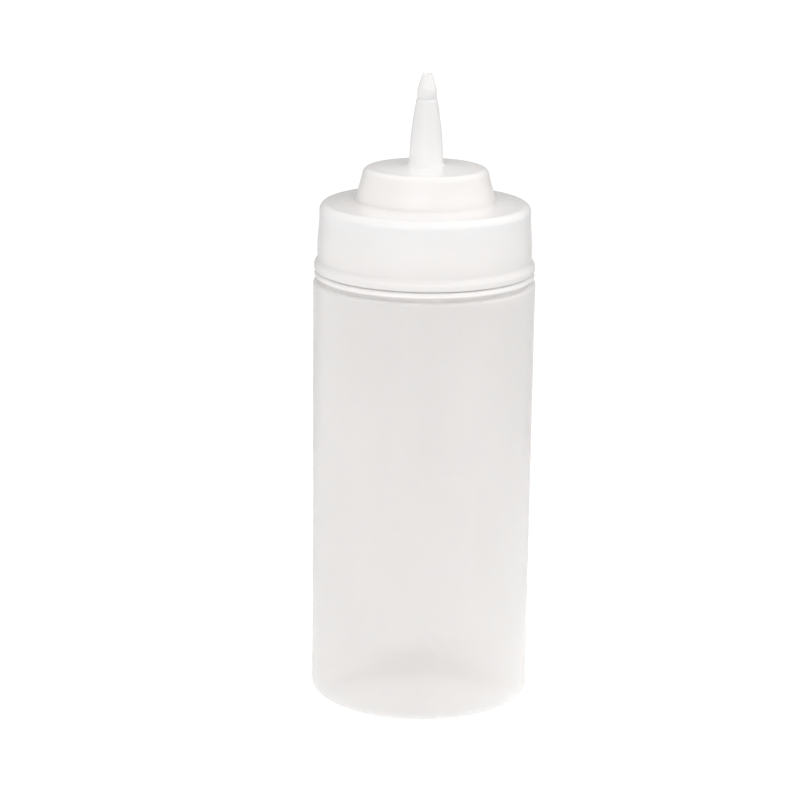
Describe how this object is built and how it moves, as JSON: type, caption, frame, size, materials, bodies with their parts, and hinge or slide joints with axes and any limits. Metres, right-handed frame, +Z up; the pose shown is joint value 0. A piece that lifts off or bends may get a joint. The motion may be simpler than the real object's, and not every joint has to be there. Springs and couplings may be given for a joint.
{
  "type": "condiment squeeze dispenser",
  "caption": "Round wide-mouth squeeze bottle with a screw-on lid that steps up through a turret to a tapered cone nozzle.",
  "frame": {"origin": "centre of the foot, on the plane that the bottle stands on", "axes": "+Z up along the bottle's axis, towards the nozzle's tip; X runs along the pinch-off seam under the base; +Y to the rear"},
  "size_m": [0.07, 0.07, 0.1995],
  "materials": {
    "bottle_ldpe": "satin, natural translucent squeezable polyethylene",
    "ring_foam": "soft, smooth, off-white",
    "lid_ldpe": "soft gloss, natural white, slightly translucent"
  },
  "bodies": {
    "bottle": {"bottle": "bottle_ldpe"},
    "sealing_ring": {"sealing_ring": "ring_foam"},
    "lid": {"cone_tip_lid": "lid_ldpe"}
  },
  "joints": [
    {"name": "lid_rise", "type": "slide", "parent": "bottle", "child": "sealing_ring", "axis": [0, 0, 1], "range_m": [0, 0.02117]},
    {"name": "lid_turn", "type": "hinge", "parent": "sealing_ring", "child": "lid", "pos_m": [0, 0, 0.1563], "axis": [0, 0, 1], "range_deg": [0, 1800]}
  ],
  "couplings": [
    {"joint": "lid_rise", "follows": "lid_turn", "m_per_rad": 0.0006737}
  ]
}
